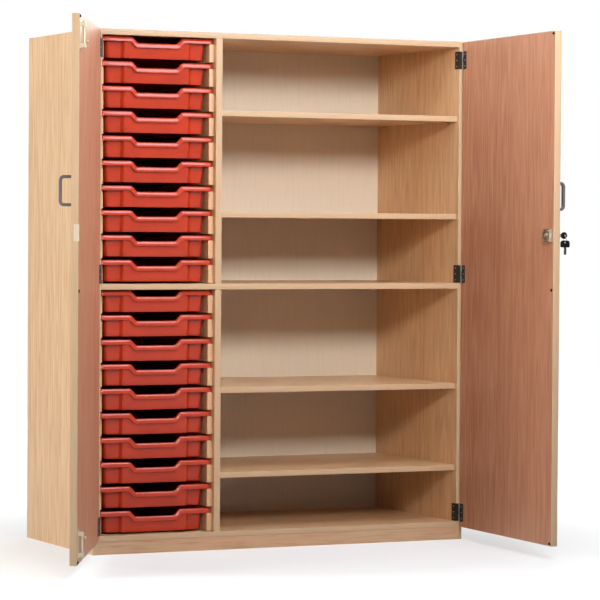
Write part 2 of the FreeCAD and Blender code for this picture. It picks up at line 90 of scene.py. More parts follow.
def length(name, description, default_mm):
    return FloatProperty(
        name=name, description=description, default=default_mm * MM, min=0.0, unit="LENGTH", precision=5
    )


def power(name, description, watts):
    return FloatProperty(name=name, description=description, default=watts, min=0.0, unit="POWER")


def colour(name, description, hex_colour):
    return FloatVectorProperty(
        name=name, description=description, default=linear(hex_colour), size=3, min=0.0, max=1.0, subtype="COLOR"
    )


class CupboardSizes(bpy.types.PropertyGroup):
    """Sizes of the visible detail."""

    edging: length("Edging thickness", "How far the edging stands off a board's core", 2.0)
    edging_round: length("Edging round", "Radius of the edging's two long edges", 1.1)
    rim_rise: length("Rim rise", "How far down its front the rounding of a tray's rim reaches", 12.0)
    rim_run: length("Rim run", "How far back from its front the rounding of a tray's rim reaches", 5.0)
    dip_round: length("Dip round", "Radius of the corners of a tray's finger dip", 10.0)
    tray_fillet: length("Tray fillet", "Fillet where a tray's wall meets the underside of its rim", 5.0)
    screw_head: length("Screw head", "Radius of a hinge screw's head", 3.9)
    handle_round: length("Handle round", "Radius of the long edges of a handle's bar", 2.2)


class CupboardFinishes(bpy.types.PropertyGroup):
    """Colours of the finishes."""

    board_light: colour("Board light", "Early wood of the beech foil on the carcass", "#E2BE94")
    board_dark: colour("Board dark", "Late wood of the beech foil on the carcass", "#D3A97E")
    # Painted shade: the doors' inner faces are the same foil as the carcass, and these darker, redder tones stand in
    # for the shade on them.
    door_shade_light: colour("Door light", "Early wood of the foil on the doors' inner faces", "#CD9678")
    door_shade_dark: colour("Door dark", "Late wood of the foil on the doors' inner faces", "#B87F62")
    # Painted shade: the plinth is the same foil, given darker tones for the shade at the foot of the cupboard.
    plinth: colour("Plinth", "Early wood of the darker foil on the plinth", "#C2A180")
    pores: colour("Pores", "Pores and flecks of the beech foil", "#A9754F")
    edging: colour("Edging", "Lipping on the boards' edges", "#C0A384")
    back: colour("Back", "Foil on the thin back panel", "#DAD3C7")
    batten: colour("Batten", "Planed beech of the tray runners", "#CDAA86")
    tray: colour("Tray", "Moulded plastic of the trays", "#B93619")
    black_steel: colour("Black steel", "Painted hinge leaves", "#1B1B1D")
    screw: colour("Screws", "Bright plated heads of the screws", "#F2F0EA")
    zinc: colour("Zinc", "Plated bolts, strike and pins", "#D0C4AC")
    handle: colour("Handle", "Grey painted handle bars", "#5C595B")
    rubber: colour("Rubber", "Door buffers", "#2A2725")
    nickel: colour("Nickel", "Lock case and key ring", "#B9AE9C")
    key_steel: colour("Key steel", "Cut blades of the keys", "#4A4745")
    key_bow: colour("Key bow", "Plastic heads of the keys", "#151517")
    floor: colour("Floor", "Studio floor", "#BBBDC0")


class CupboardStudio(bpy.types.PropertyGroup):
    """Light and floor."""

    key_power: power("Key light", "Power of the front light", 12.4)
    top_power: power("Top light", "Power of the strip over the front", 27.0)
    side_power: power("Side light", "Power of the light on the left side", 142.0)
    back_power: power("Back light", "Power of the light behind the right side", 95.0)
    ambience: FloatProperty(
        name="Ambience", description="Strength of the light from all round", default=0.05, min=0.0
    )
    floor_size: FloatProperty(
        name="Floor", description="Length of the floor's edges", default=16.0, min=4.0, unit="LENGTH"
    )


def settings():
    scene = bpy.context.scene
    return scene.cupboard_sizes, scene.cupboard_finishes, scene.cupboard_studio


# Drawing helpers, all in millimetres


def skin(bm, rings, wrap=False):
    """Faces through rings of equal counts of points, capped at both ends or joined end to end."""
    rows = [[bm.verts.new(point) for point in ring] for ring in rings]
    pairs = list(zip(rows, rows[1:]))
    if wrap:
        pairs.append((rows[-1], rows[0]))
    made = []
    for near, far in pairs:
        for i in range(len(near)):
            j = (i + 1) % len(near)
            made.append(bm.faces.new((near[i], near[j], far[j], far[i])))
    if not wrap:
        made.append(bm.faces.new(rows[0]))
        made.append(bm.faces.new(rows[-1]))
    return made


def turned(bm, base, axis, stations, sides=24):
    """Round piece along an axis, through stations of radius and distance."""
    base, axis = Vector(base), Vector(axis).normalized()
    across = axis.orthogonal().normalized()
    up = axis.cross(across)
    angles = [2 * math.pi * i / sides for i in range(sides)]
    spokes = [across * math.cos(a) + up * math.sin(a) for a in angles]
    skin(bm, [[base + axis * d + spoke * r for spoke in spokes] for r, d in stations])


def arc(centre, radius, start, end, steps):
    """Points of an arc in a plane, its angles in degrees."""
    angles = [math.radians(start + (end - start) * i / steps) for i in range(steps + 1)]
    return [(centre[0] + radius * math.cos(a), centre[1] + radius * math.sin(a)) for a in angles]


def round_rectangle(width, height, radius, steps=4):
    """Outline of a rectangle about the origin with rounded corners."""
    x, y = width / 2 - radius, height / 2 - radius
    corners = (((x, y), 0), ((-x, y), 90), ((-x, -y), 180), ((x, -y), 270))
    return [point for centre, start in corners for point in arc(centre, radius, start, start + 90, steps)]


def swing(side):
    """Carries a drawing on the closed right-hand door to either door as it stands open."""
    pin = Matrix.Translation((side * PIN_X, PIN_Y, 0))
    turn = Matrix.Rotation(math.radians(side * DOOR_ANGLE[side]), 4, "Z")
    return pin @ turn @ pin.inverted() @ Matrix.Diagonal((side, 1, 1, 1))


def inward(side):
    """The way a door's inner face looks as the door stands open."""
    return swing(side).to_3x3() @ Vector((0, 1, 0))


def on_door(side, spots):
    """Seats on a door's inner face: where each spot of x, lift off the face and z comes to, and the way it faces."""
    carry, way = swing(side), inward(side)
    return [(carry @ Vector((x, DOOR_INNER + lift, z)), way) for x, lift, z in spots]


def second_finish(bm, first):
    """Gives the second finish to the faces drawn after the first ones."""
    for index, face in enumerate(bm.faces):
        face.material_index = int(index >= first)


def piece(name, bm, body, finishes, replaced=()):
    """Turns a drawing in millimetres into a finished piece that moves with a body."""
    bmesh.ops.remove_doubles(bm, verts=bm.verts, dist=0.001)
    bmesh.ops.recalc_face_normals(bm, faces=bm.faces)
    bmesh.ops.scale(bm, vec=(MM, MM, MM), verts=bm.verts)
    mesh = bpy.data.meshes.new(name)
    bm.to_mesh(mesh)
    bm.free()
    mesh.shade_smooth()
    mesh.set_sharp_from_angle(angle=SHARP_ANGLE)
    for finish in finishes:
        mesh.materials.append(finish)
    fitted(bpy.data.objects.new(name, mesh), body, replaced)


def fitted(obj, body, replaced=()):
    """Links a piece, rides it on its body and hides the imported nodes it replaces."""
    if obj.name not in bpy.context.scene.collection.objects:
        bpy.context.scene.collection.objects.link(obj)
    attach(obj, body)
    if replaced:
        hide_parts(*replaced)


def dress(finish, *nodes):
    """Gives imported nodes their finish."""
    for node in nodes:
        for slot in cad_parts[node].material_slots:
            slot.material = finish


def add(tree, kind, inputs=None, **options):
    """Adds a node with its options, and fills each input with a value, an output or a node's first output.

    A kind without "Node" in its name is a shader node.
    """
    made = tree.nodes.new(kind if "Node" in kind else "ShaderNode" + kind)
    for key, value in options.items():
        setattr(made, key, value)
    for key, value in (inputs or {}).items():
        if isinstance(value, bpy.types.Node):
            value = value.outputs[0]
        if isinstance(value, bpy.types.NodeSocket):
            tree.links.new(value, made.inputs[key])
        else:
            made.inputs[key].default_value = value
    return made


def blank(name):
    """Empty material and its tree."""
    finish = bpy.data.materials.new(name)
    finish.use_nodes = True
    finish.node_tree.nodes.clear()
    return finish, finish.node_tree


def rgba(value):
    return (*value, 1.0)


def surface(tree, base, pattern, rough, relief, height=None, more=None):
    """Shades a colour, with a roughness that follows a pattern and a fine relief of strength and depth."""
    varied = add(tree, "MapRange", {"Value": pattern, "To Min": rough[0], "To Max": rough[1]})
    strength, depth = relief
    bumps = add(tree, "Bump", {"Strength": strength, "Distance": depth, "Height": height or pattern})
    shader = add(tree, "BsdfPrincipled", {
        "Base Color": base.outputs[2], "Roughness": varied, "Normal": bumps, **(more or {}),
    })
    add(tree, "OutputMaterial", {0: shader})


# Finishes


def along_grain(axis, width, span):
    """Scale that gives a pattern one feature each width across the grain and each span along it."""
    return [1 / (span * MM) if i == axis else 1 / (width * MM) for i in range(3)]


def drawn_out(tree, place, scale, detail, roughness=0.5):
    """Noise stretched by a scale along each axis."""
    mapped = add(tree, "Mapping", {"Vector": place, "Scale": scale})
    return add(tree, "TexNoise", {"Vector": mapped, "Scale": 1.0, "Detail": detail, "Roughness": roughness})


def beech_foil(name, axis, light, dark, pores, inner=None, contrast=1.0, smooth=0.24):
    """Beech-effect foil on chipboard: a satin print of plain-sawn figure with short dark pores and pale flecks."""
    finish, tree = blank(name)
    coords = add(tree, "TexCoord")
    place = coords.outputs["Object"]
    # Growth rings follow the contours of a long soft noise.
    # Real rings are 2 to 5 mm apart, drawn at about 14 mm to show.
    figure = drawn_out(tree, place, along_grain(axis, 95, 1500), 2.0, 0.55)
    phase = add(tree, "Math", {0: figure, 1: 85.0}, operation="MULTIPLY")
    wave = add(tree, "Math", {0: phase}, operation="SINE")
    rings = add(tree, "MapRange", {"Value": wave, "From Min": -1.0, "From Max": 1.0})
    # Pores are dashes 0.1 by 3 mm on the real wood, drawn 5 by 90 mm.
    dashes = drawn_out(tree, place, along_grain(axis, 5, 90), 2.0, 0.6)
    dark_dash = add(tree, "MapRange", {"Value": dashes, "From Min": 0.5, "From Max": 0.72})
    pale_dash = add(tree, "MapRange", {"Value": dashes, "From Min": 0.44, "From Max": 0.28})
    # Broad bands of tone, as where one strip of the printed veneer meets the next.
    bands = drawn_out(tree, place, along_grain(axis, 60, 2500), 1.0)
    tone = add(tree, "Math", {0: rings, 1: bands}, operation="MULTIPLY")
    tone = add(tree, "Math", {0: tone, 1: 1.1 * contrast}, operation="MULTIPLY", use_clamp=True)
    base = add(tree, "Mix", {0: tone, 6: rgba(light), 7: rgba(dark)}, data_type="RGBA").outputs[2]
    # Painted shade: faces turned the way an open door's inner face turns get darker, redder tones, a shaded copy of
    # the same foil.
    if inner:
        painted_shade_light, painted_shade_dark, facing = inner
        inside = add(tree, "Mix", {0: tone, 6: rgba(painted_shade_light), 7: rgba(painted_shade_dark)}, data_type="RGBA")
        lean = add(tree, "VectorMath", {0: coords.outputs["Normal"], 1: facing}, operation="DOT_PRODUCT")
        shaded_side = add(tree, "Math", {0: lean.outputs["Value"], 1: 0.7}, operation="GREATER_THAN")
        base = add(tree, "Mix", {0: shaded_side, 6: base, 7: inside.outputs[2]}, data_type="RGBA").outputs[2]
    much = add(tree, "Math", {0: dark_dash, 1: 0.3 * contrast}, operation="MULTIPLY")
    poured = add(tree, "Mix", {0: much, 6: base, 7: rgba(pores)}, data_type="RGBA", blend_type="MULTIPLY")
    much = add(tree, "Math", {0: pale_dash, 1: 0.18 * contrast}, operation="MULTIPLY")
    flecked = add(tree, "Mix", {
        0: much, 6: poured.outputs[2], 7: (1, 1, 1, 1),
    }, data_type="RGBA", blend_type="SOFT_LIGHT")
    surface(tree, flecked, dashes, (smooth, smooth * 1.5), (0.06, 0.0004), more={"IOR": 1.48})
    return finish


def beech_lipping(name, light, pores):
    """Solid beech lipping: paler than the foil, with faint long streaks that run along each strip."""
    finish, tree = blank(name)
    grain = add(tree, "UVMap", uv_map="grain")
    # One streak each 3 mm across and 120 mm along the strip.
    streaks = drawn_out(tree, grain, (1 / 0.12, 1 / 0.003, 1.0), 3.0, 0.6)
    amount = add(tree, "MapRange", {"Value": streaks, "From Min": 0.45, "From Max": 0.8, "To Max": 0.38})
    base = add(tree, "Mix", {0: amount, 6: rgba(light), 7: rgba(pores)}, data_type="RGBA")
    surface(tree, base, streaks, (0.38, 0.52), (0.1, 0.0003), more={"IOR": 1.48})
    return finish


def moulded_plastic(name, base, mottle, roughness, gloss=0.0):
    """Injection-moulded plastic: an even dense colour with a soft gloss and the faint orange peel of the tool."""
    finish, tree = blank(name)
    place = add(tree, "TexCoord").outputs["Object"]
    # Flow marks about 60 mm long give a slow drift of tone, and the peel is 1.6 mm.
    flow = add(tree, "TexNoise", {"Vector": place, "Scale": 1 / 0.06, "Detail": 2.0})
    peel = add(tree, "TexNoise", {"Vector": place, "Scale": 1 / 0.0016, "Detail": 1.0})
    darker = [c * mottle for c in base]
    amount = add(tree, "MapRange", {"Value": flow, "From Min": 0.3, "From Max": 0.7})
    tint = add(tree, "Mix", {0: amount, 6: rgba(base), 7: rgba(darker)}, data_type="RGBA")
    surface(tree, tint, flow, (roughness * 0.85, roughness * 1.15), (0.08, 0.0002), peel, {
        "IOR": 1.49, "Specular IOR Level": 0.05, "Coat Weight": gloss, "Coat Roughness": 0.15, "Coat IOR": 1.5,
    })
    return finish


def metal(name, base, roughness, grit, metallic=1.0):
    """Plated or painted steel: tone and gloss break up with the grit of its surface, in millimetres."""
    finish, tree = blank(name)
    place = add(tree, "TexCoord").outputs["Object"]
    specks = add(tree, "TexNoise", {"Vector": place, "Scale": 1 / (grit * MM), "Detail": 3.0, "Roughness": 0.6})
    worn = [c * 0.72 for c in base]
    amount = add(tree, "MapRange", {"Value": specks, "From Min": 0.4, "From Max": 0.75})
    tint = add(tree, "Mix", {0: amount, 6: rgba(base), 7: rgba(worn)}, data_type="RGBA")
    surface(tree, tint, specks, (roughness * 0.8, roughness * 1.25), (0.1, 0.0001), more={"Metallic": metallic})
    return finish


def shared(name, maker, *values, **named):
    """The finish of that name, made on first use."""
    return bpy.data.materials.get(name) or maker(name, *values, **named)


def board_finish(axis):
    """Foil of the carcass: satin on the upright boards, smoother on the level ones, whose tops mirror the back."""
    _, finishes, _ = settings()
    name = "beech_foil_" + "xyz"[axis]
    tones = finishes.board_light, finishes.board_dark, finishes.pores
    return shared(name, beech_foil, axis, *tones, smooth=0.38 if axis == Z else 0.24)


def lipping_finish():
    _, finishes, _ = settings()
    return shared("beech_lipping", beech_lipping, finishes.edging, finishes.pores)


def zinc_finish():
    _, finishes, _ = settings()
    return shared("zinc_plated_steel", metal, finishes.zinc, roughness=0.36, grit=1.2, metallic=0.5)


def hinge_steel(name, paint, highlight):
    """Black painted hinge: satin paint on the leaves, with a painted highlight of pale steel on the front faces of
    the knuckles near the pin.
    """
    finish = metal(name, paint, roughness=0.42, grit=0.9, metallic=0.0)
    tree = finish.node_tree
    coords = add(tree, "TexCoord")
    place = add(tree, "SeparateXYZ", {0: coords.outputs["Object"]})
    either = add(tree, "Math", {0: place.outputs["X"]}, operation="ABSOLUTE")
    flat = add(tree, "CombineXYZ", {"X": either, "Y": place.outputs["Y"]})
    off = add(tree, "VectorMath", {0: flat, 1: (PIN_X * MM, PIN_Y * MM, 0)}, operation="DISTANCE")
    # Painted highlight: faces near the pin axis that face the front turn pale.
    near = add(tree, "MapRange", {
        "Value": off.outputs["Value"], "From Min": 10.5 * MM, "From Max": 9.0 * MM, "To Max": 0.95,
    })
    front = add(tree, "VectorMath", {0: coords.outputs["Normal"], 1: (0, -1, 0)}, operation="DOT_PRODUCT")
    shown = add(tree, "MapRange", {"Value": front.outputs["Value"], "From Min": 0.55, "From Max": 0.75})
    painted_highlight = add(tree, "Math", {0: near, 1: shown}, operation="MULTIPLY")
    shader = next(node for node in tree.nodes if node.type == "BSDF_PRINCIPLED")
    paint = shader.inputs["Base Color"].links[0].from_socket
    both = add(tree, "Mix", {0: painted_highlight, 6: paint, 7: rgba(highlight)}, data_type="RGBA")
    tree.links.new(both.outputs[2], shader.inputs["Base Color"])
    return finish


# Carcass

UPRIGHT_BOARDS = ("left_side_panel", "right_side_panel", "upper_divider", "lower_divider")
LEVEL_BOARDS = ("top_panel", "base_panel", "fixed_shelf")
SHELVES = [f"adjustable_shelf_{number}" for number in range(1, 5)]


def lip(bm, grain, start, along, across, outward, radius):
    """Edging strip from a corner of the board's core, its two outer long edges rounded.

    Its UV map runs along the strip in u and round it in v, in metres.
    """
    start, along, across, outward = Vector(start), Vector(along), Vector(across), Vector(outward)
    width, thick = across.length, outward.length
    section = [(0.0, 0.0)]
    section += arc((radius, thick - radius), radius, 180, 90, 4)
    section += arc((width - radius, thick - radius), radius, 90, 0, 4)
    section.append((width, 0.0))
    a_way, o_way = across.normalized(), outward.normalized()
    rings = [[start + along * end + a_way * a + o_way * o for a, o in section] for end in (0, 1)]
    drift = (start.x * 0.37 + start.y * 0.61 + start.z * 0.23) * MM
    for face in skin(bm, rings):
        for loop in face.loops:
            offset = loop.vert.co - start
            u = offset.dot(along.normalized())
            v = offset.dot(a_way) + offset.dot(o_way)
            loop[grain].uv = (u * MM + drift, v * MM + drift)


def box_faces(bm, low, high):
    """Closed box between two corners."""
    x0, y0, z0 = low
    x1, y1, z1 = high
    skin(bm, [[(x0, y0, z), (x1, y0, z), (x1, y1, z), (x0, y1, z)] for z in (z0, z1)])


def edging_drawing():
    """New drawing with its grain map, and the edging's thickness and round."""
    sizes, _, _ = settings()
    bm = bmesh.new()
    return bm, bm.loops.layers.uv.new("grain"), sizes.edging / MM, sizes.edging_round / MM


def front_lip(bm, grain, low, high, upright, thick, radius):
    """Edging on the front edge of an upright or level board between two corners."""
    tall, wide = (0, 0, high.z - low.z), (high.x - low.x, 0, 0)
    along, across = (tall, wide) if upright else (wide, tall)
    lip(bm, grain, low, along, across, (0, -thick, 0), radius)


def make_carcass_edging():
    bm, grain, thick, radius = edging_drawing()
    for node in (*UPRIGHT_BOARDS, *LEVEL_BOARDS):
        front_lip(bm, grain, *drawn(node), node in UPRIGHT_BOARDS, thick, radius)
    piece("carcass_lipping", bm, "carcass", [lipping_finish()], ["carcass_edging"])


def make_shelves():
    """Loose shelves of the right bay, each with its own lipping on the front edge."""
    for number, node in enumerate(SHELVES, 1):
        low, high = drawn(node)
        bm, grain, thick, radius = edging_drawing()
        core = low + Vector((0, thick, 0))
        box_faces(bm, core, high)
        board_faces = len(bm.faces)
        front_lip(bm, grain, core, high, False, thick, radius)
        second_finish(bm, board_faces)
        piece(f"shelf_{number}_board", bm, "carcass", [board_finish(X), lipping_finish()], [node])


class CUPBOARD_OT_carcass(bpy.types.Operator):
    """Foil on the carcass boards, lipping on their front edges and the loose shelves"""

    bl_idname = "cupboard.carcass"
    bl_label = "Carcass boards"

    def execute(self, context):
        _, finishes, _ = settings()
        dress(board_finish(Z), *UPRIGHT_BOARDS)
        dress(board_finish(X), *LEVEL_BOARDS)
        # Painted shade: darker tones on the plinth stand in for the shade at the cupboard's foot; its late wood is
        # the doors' shaded tone.
        plinth = shared("beech_plinth_foil", beech_foil, X, finishes.plinth, finishes.door_shade_light, finishes.pores)
        dress(plinth, "front_plinth")
        tones = finishes.back, finishes.back, finishes.pores
        back = shared("beech_back_foil", beech_foil, Z, *tones, contrast=0.2)
        dress(back, "back_panel")
        make_carcass_edging()
        make_shelves()
        return {"FINISHED"}


# Doors


def door_edging(side):
    """Lipping on a door's four edges, cut back at the hinge barrels and at the strike plate."""
    bm, grain, thick, radius = edging_drawing()
    full, notched = DOOR_INNER - DOOR_OUTER, PIN_Y - BARREL_GAP - DOOR_OUTER
    cuts = [(bottom - NOTCH_GAP, bottom + HINGE_HEIGHT + NOTCH_GAP, notched) for bottom in HINGE_BOTTOMS]
    lay_upright(bm, grain, HINGE_EDGE - thick, thick, cuts, full, radius)
    cuts = [(LOCK_Z - STRIKE_HALF, LOCK_Z + STRIKE_HALF, full - STRIKE_DEEP)] if side < 0 else []
    lay_upright(bm, grain, FREE_EDGE + thick, -thick, cuts, full, radius)
    wide = (HINGE_EDGE - FREE_EDGE - 2 * thick, 0, 0)
    start = Vector((FREE_EDGE + thick, DOOR_OUTER, DOOR_BOTTOM + thick))
    lip(bm, grain, start, wide, (0, full, 0), (0, 0, -thick), radius)
    start.z = DOOR_TOP - thick
    lip(bm, grain, start, wide, (0, full, 0), (0, 0, thick), radius)
    bm.transform(swing(side))
    name = HANDS[side] + "_door"
    piece(name + "_lipping", bm, name, [lipping_finish()], [name + "_edging"])


def lay_upright(bm, grain, x, outward, cuts, full, radius):
    """Upright strip of a door, in lengths between cuts of bottom, top and the width that is left there."""
    height = DOOR_BOTTOM
    lengths = []
    for low, high, width in cuts:
        lengths += [(height, low, full), (low, high, width)]
        height = high
    lengths.append((height, DOOR_TOP, full))
    for low, high, width in lengths:
        lip(bm, grain, (x, DOOR_OUTER, low), (0, 0, high - low), (0, width, 0), (outward, 0, 0), radius)


class CUPBOARD_OT_doors(bpy.types.Operator):
    """Foil on the two doors and lipping on their edges"""

    bl_idname = "cupboard.doors"
    bl_label = "Doors"

    def execute(self, context):
        _, finishes, _ = settings()
        tones = finishes.board_light, finishes.board_dark, finishes.pores
        for side, hand in HANDS.items():
            # Painted shade: the inner faces get darker, redder tones of the same foil.
            inner = (finishes.door_shade_light, finishes.door_shade_dark, inward(side))
            foil = shared("door_beech_foil_" + hand, beech_foil, Z, *tones, inner, smooth=0.37)
            dress(foil, hand + "_door_panel")
            door_edging(side)
        return {"FINISHED"}


# Trays

RIM_WIDTH, TRAY_LENGTH, TRAY_HEIGHT, TRAY_WALL = 311.0, 427.0, 55.0, 2.4
TRAY_DRAFT, TRAY_FLANGE, RIM_HEIGHT = 6.0, 16.0, 12.5
BODY_CORNER, RIM_CORNER = 10.0, 8.0
DIP_WIDTH, DIP_DEPTH, DIP_RUN = 108.0, 15.3, 14.5
PANEL_WIDTH, PANEL_SETBACK, PANEL_FLARE = 180.0, 4.5, 6.0
FRONT_FLANGE, FRONT_DRAFT, FLANK_SHARE = TRAY_FLANGE - 2, 0.6, 0.6
FOOT_ROUND, FOOT_ROUND_MIDDLE, HALF_WAY, FLOOR_INSET = 2.5, 0.73, -32.0, 6.0
CORNER_STEPS, BEND_STEPS, RIM_STEPS = 6, 5, 7
TRAYS = [f"tray_{number:02d}" for number in range(1, 21)]
UPPER_TRAYS = TRAYS[:10]
OUTER_STATIONS = (80.0, 88.5, 91.0, 95.0, 97.5, 115.0)


def front_line(depth, radius):
    """Right half of the front rim's line at a depth below its top, as x and z from the middle outward."""
    slope = math.atan2(DIP_DEPTH, DIP_RUN)
    back_off = depth * math.tan(slope / 2)
    foot = (DIP_WIDTH / 2 + back_off, -DIP_DEPTH - depth)
    shoulder = (DIP_WIDTH / 2 + DIP_RUN + back_off, -depth)
    degrees = math.degrees(slope)
    reach = radius * math.tan(slope / 2)
    low = arc((foot[0] - reach, foot[1] + radius), radius, -90, -90 + degrees, BEND_STEPS)
    high = arc((shoulder[0] + reach, shoulder[1] - radius), radius, 90 + degrees, 90, BEND_STEPS)
    middle = [(0.0, foot[1]), (low[0][0] / 2, foot[1])]
    return middle + low + high + [(x, -depth) for x in OUTER_STATIONS]


def both_sides(half):
    """Whole front line from its right half."""
    return [(-x, z) for x, z in reversed(half[1:])] + half


def round_plan(half, front_y, rear_y, radius):
    """Three sides of a rounded plan after its front edge, from the front right corner to the front left one."""
    corners = [
        arc((half - radius, front_y + radius), radius, -90, 0, CORNER_STEPS),
        arc((half - radius, rear_y - radius), radius, 0, 90, CORNER_STEPS),
    ]
    sides = [(half, front_y + (rear_y - front_y) * k / 3) for k in (1, 2)]
    right = corners[0] + sides + corners[1]
    return right + [(0.0, rear_y)] + [(-x, y) for x, y in reversed(right)]


def rim_ring(depth, inset, radius):
    """Ring of the rim at a depth below its top line and an inset from its outside."""
    ring = [Vector((x, inset, z)) for x, z in both_sides(front_line(depth, radius))]
    plan = round_plan(RIM_WIDTH / 2 - inset, inset, TRAY_LENGTH - inset, max(RIM_CORNER - inset, 1.0))
    return ring + [Vector((x, y, -depth)) for x, y in plan]


def body_ring(shrink, depth=None, level=None, radius=10.0):
    """Ring of the drafted body, along the rim's line at a depth below it or at one level.

    shrink and depth may be pairs: at the close front panel, and at the other walls.
    """
    near, far = shrink if isinstance(shrink, tuple) else (shrink, shrink)
    near_depth, far_depth = depth if isinstance(depth, tuple) else (depth, depth)
    line = both_sides(front_line(near_depth or 0.0, radius))
    ring = []
    for x, z in line:
        z = z if level is None else level
        lean = TRAY_DRAFT * -z / TRAY_HEIGHT
        edge = PANEL_WIDTH / 2 - near * FLANK_SHARE
        across = abs(x) - near * FLANK_SHARE if abs(x) >= OUTER_STATIONS[1] else abs(x)
        share = min(max((across - edge) / PANEL_FLARE, 0.0), 1.0)
        close = PANEL_SETBACK + FRONT_DRAFT * lean + near
        set_back = FRONT_FLANGE + FRONT_DRAFT * lean + near
        ring.append(Vector((math.copysign(across, x), close + (set_back - close) * share, z)))
    z = -far_depth if level is None else level
    lean = TRAY_DRAFT * -z / TRAY_HEIGHT
    half = RIM_WIDTH / 2 - TRAY_FLANGE - lean - far
    front_y = FRONT_FLANGE + FRONT_DRAFT * lean + far
    rear_y = TRAY_LENGTH - TRAY_FLANGE - lean - far
    plan = round_plan(half, front_y, rear_y, max(BODY_CORNER - far, 2.0))
    return ring + [Vector((x, y, z)) for x, y in plan]


def tray_rings():
    """Rings of the tray's closed skin, from under its floor, round the rim, to the floor inside."""
    sizes, _, _ = settings()
    bend, fillet = sizes.dip_round / MM, sizes.tray_fillet / MM
    rise, run = sizes.rim_rise / MM, sizes.rim_run / MM
    wall, foot = TRAY_WALL, -TRAY_HEIGHT
    inside = foot + wall
    rings = [
        body_ring(FLOOR_INSET, level=foot), body_ring(FOOT_ROUND, level=foot),
        body_ring(FOOT_ROUND_MIDDLE, level=foot + FOOT_ROUND_MIDDLE),
        body_ring(0.0, level=foot + FOOT_ROUND), body_ring(0.0, level=HALF_WAY),
        body_ring(0.0, depth=(wall + 1.2, wall + fillet), radius=bend),
        body_ring((-0.36, -0.3 * fillet), depth=(wall + 0.36, wall + 0.3 * fillet), radius=bend),
        body_ring((-1.2, -fillet), depth=wall, radius=bend),
        rim_ring(wall + 1.8, wall + 0.8, bend), rim_ring(RIM_HEIGHT - 0.7, wall, bend),
        rim_ring(RIM_HEIGHT, wall - 0.7, bend), rim_ring(RIM_HEIGHT, 0.5, bend),
    ]
    for step in range(RIM_STEPS + 1):
        angle = math.radians(90 * step / RIM_STEPS)
        rings.append(rim_ring(rise * (1 - math.sin(angle)), run * (1 - math.cos(angle)), bend))
    return rings + [
        body_ring(0.9, depth=0.0, radius=bend), body_ring(1.95, depth=0.45, radius=bend),
        body_ring(wall, depth=1.5, radius=bend), body_ring(wall, level=HALF_WAY),
        body_ring(wall, level=inside + 3.0), body_ring(wall + 0.9, level=inside + 0.9),
        body_ring(wall + 3.0, level=inside), body_ring(wall + FLOOR_INSET, level=inside),
    ]


class CUPBOARD_OT_trays(bpy.types.Operator):
    """Moulded trays with a rolled rim, a finger dip and a proud front panel"""

    bl_idname = "cupboard.trays"
    bl_label = "Trays"

    def execute(self, context):
        _, finishes, _ = settings()
        look = {"mottle": 0.86, "roughness": 0.3, "gloss": 0.62}
        red = shared("red_moulded_plastic", moulded_plastic, finishes.tray, **look)
        rings = tray_rings()
        for node in TRAYS:
            low, high = drawn(node)
            bm = bmesh.new()
            skin(bm, rings)
            bm.transform(Matrix.Translation(((low.x + high.x) / 2, low.y, high.z)))
            piece(node + "_moulding", bm, node + "_body", [red], [node])
        return {"FINISHED"}


# What repeats, grown with Geometry Nodes

UNSTRETCHED = (1, 1, 1)
SCREW_PROUD, SCREW_STEPS = 0.3, (-16, 0, 16)
CARCASS_SCREW_X, CARCASS_SCREW_Y = 513.3, 3.5
BATTEN_WIDTH, BATTEN_EASE, LEFT_SETBACK = 14.0, 1.0, 13.0
TRAY_TO_BATTEN, UPPER_BATTEN, LOWER_BATTEN = 12.7, 46.6, 46.0
SHELF_PIN_RADIUS, SHELF_PIN_LENGTH = 2.5, 19.0
BUFFER_RADIUS, BUFFER_HEIGHT, BUFFER_INSET = 4.0, 2.8, 8.0
BUFFER_ROWS = (40.5, 681.5, 1328.5)


def new_tree(name, lengths):
    """Node tree with seats in, a mesh out and a named input for each length."""
    tree = bpy.data.node_groups.new(name, "GeometryNodeTree")
    tree.interface.new_socket("Seats", in_out="INPUT", socket_type="NodeSocketGeometry")
    for key in lengths:
        socket = tree.interface.new_socket(key, in_out="INPUT", socket_type="NodeSocketFloat")
        socket.subtype = "DISTANCE"
    tree.interface.new_socket("Mesh", in_out="OUTPUT", socket_type="NodeSocketGeometry")
    return tree, add(tree, "NodeGroupInput").outputs


def finish_tree(tree, given, shape, material):
    """Sets the shape on each seat, turned the way the seat faces, as one plain mesh."""
    facing = add(tree, "GeometryNodeInputNamedAttribute", {"Name": "facing"}, data_type="FLOAT_VECTOR")
    size = add(tree, "GeometryNodeInputNamedAttribute", {"Name": "size"}, data_type="FLOAT_VECTOR")
    turn = add(tree, "FunctionNodeAlignRotationToVector", {"Vector": facing}, axis="Z")
    set_out = add(tree, "GeometryNodeInstanceOnPoints", {
        "Points": given["Seats"], "Instance": shape, "Rotation": turn, "Scale": size,
    })
    real = add(tree, "GeometryNodeRealizeInstances", {0: set_out})
    painted = add(tree, "GeometryNodeSetMaterial", {"Geometry": real, "Material": material})
    add(tree, "NodeGroupOutput", {0: painted})


def grow(name, tree, lengths, seats):
    """Plain mesh object of a tree over seats, each a place in millimetres, the way it faces and its stretch."""
    mesh = bpy.data.meshes.new(name)
    mesh.from_pydata([Vector(place) * MM for place, _, _ in seats], [], [])
    for key, index in (("facing", 1), ("size", 2)):
        layer = mesh.attributes.new(key, "FLOAT_VECTOR", "POINT")
        layer.data.foreach_set("vector", [c for seat in seats for c in seat[index]])
    obj = bpy.data.objects.new(name, mesh)
    bpy.context.scene.collection.objects.link(obj)
    modifier = obj.modifiers.new("grow", "NODES")
    modifier.node_group = tree
    for item in tree.interface.items_tree:
        if item.in_out == "INPUT" and item.name in lengths:
            modifier[item.identifier] = lengths[item.name]
    made = bpy.data.meshes.new_from_object(obj.evaluated_get(bpy.context.evaluated_depsgraph_get()))
    obj.modifiers.remove(modifier)
    obj.data = made
    made.name = name
    made.shade_smooth()
    made.set_sharp_from_angle(angle=SHARP_ANGLE)
    return obj


